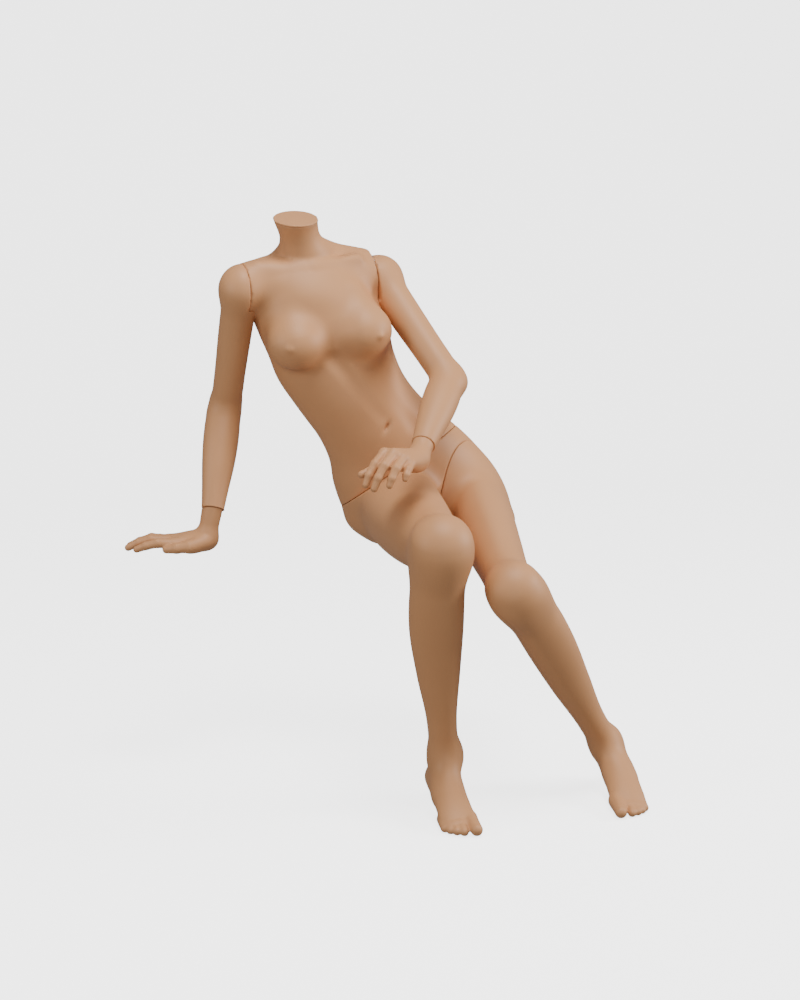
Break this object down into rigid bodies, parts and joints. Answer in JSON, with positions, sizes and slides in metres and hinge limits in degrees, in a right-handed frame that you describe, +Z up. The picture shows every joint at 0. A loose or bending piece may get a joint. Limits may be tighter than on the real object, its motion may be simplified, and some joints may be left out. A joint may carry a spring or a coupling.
{
  "type": "full body mannequin",
  "caption": "Seated headless mannequin, one hand flat beside the seat and the other over the thigh, with twist-lock waist, arms and hands and a lift-off leg",
  "frame": {"origin": "on the seat plane, the flat underside of the pelvis, under the middle of the hips", "axes": "+Z up, the mannequin faces -Y, its left side is +X"},
  "size_m": [0.8981, 0.6073, 1.0427],
  "materials": {
    "skin": "matt skin-tone paint over a moulded glass-fibre shell",
    "steel": "zinc-plated steel"
  },
  "bodies": {
    "root": {"pelvis_right_leg_shell": "skin", "waist_socket_plate": "steel", "waist_socket_screws": "steel", "leg_socket_plate": "steel", "leg_socket_screws": "steel"},
    "torso": {"torso_shell": "skin", "neck_cap": "skin", "waist_stud": "steel", "waist_stud_screws": "steel", "right_shoulder_socket_plate": "steel", "right_shoulder_socket_screws": "steel", "left_shoulder_socket_plate": "steel", "left_shoulder_socket_screws": "steel"},
    "left_leg": {"left_leg_shell": "skin", "leg_stud_plate": "steel", "leg_stud_screws": "steel"},
    "right_arm": {"right_arm_shell": "skin", "right_shoulder_stud": "steel", "right_shoulder_stud_screws": "steel", "right_wrist_socket_plate": "steel"},
    "left_arm": {"left_arm_shell": "skin", "left_shoulder_stud": "steel", "left_shoulder_stud_screws": "steel", "left_wrist_socket_plate": "steel"},
    "right_hand": {"right_hand": "skin", "right_wrist_stud": "steel"},
    "left_hand": {"left_hand": "skin", "left_wrist_stud": "steel"}
  },
  "joints": [
    {"name": "waist_turn", "type": "hinge", "parent": "root", "child": "torso", "pos_m": [-0.072, 0, 0.144], "axis": [-0.5561, 0.172, 0.8131], "range_deg": [0, 15]},
    {"name": "left_leg_lift", "type": "slide", "parent": "root", "child": "left_leg", "axis": [0.1142, -0.0899, 0.9894], "range_m": [0, 0.018]},
    {"name": "right_shoulder_turn", "type": "hinge", "parent": "torso", "child": "right_arm", "pos_m": [-0.36424, -0.04291, 0.49291], "axis": [0.9622, 0.2692, 0.0404], "range_deg": [0, 30]},
    {"name": "left_shoulder_turn", "type": "hinge", "parent": "torso", "child": "left_arm", "pos_m": [-0.12176, 0.02491, 0.50309], "axis": [-0.9622, -0.2692, -0.0404], "range_deg": [0, 40]},
    {"name": "right_wrist_turn", "type": "hinge", "parent": "right_arm", "child": "right_hand", "pos_m": [-0.42459, -0.03564, 0.07893], "axis": [-0.1603, -0.4091, -0.8983], "range_deg": [0, 60]},
    {"name": "left_wrist_turn", "type": "hinge", "parent": "left_arm", "child": "left_hand", "pos_m": [-0.06955, -0.25947, 0.22772], "axis": [-0.3862, -0.7633, -0.5179], "range_deg": [0, 60]}
  ]
}
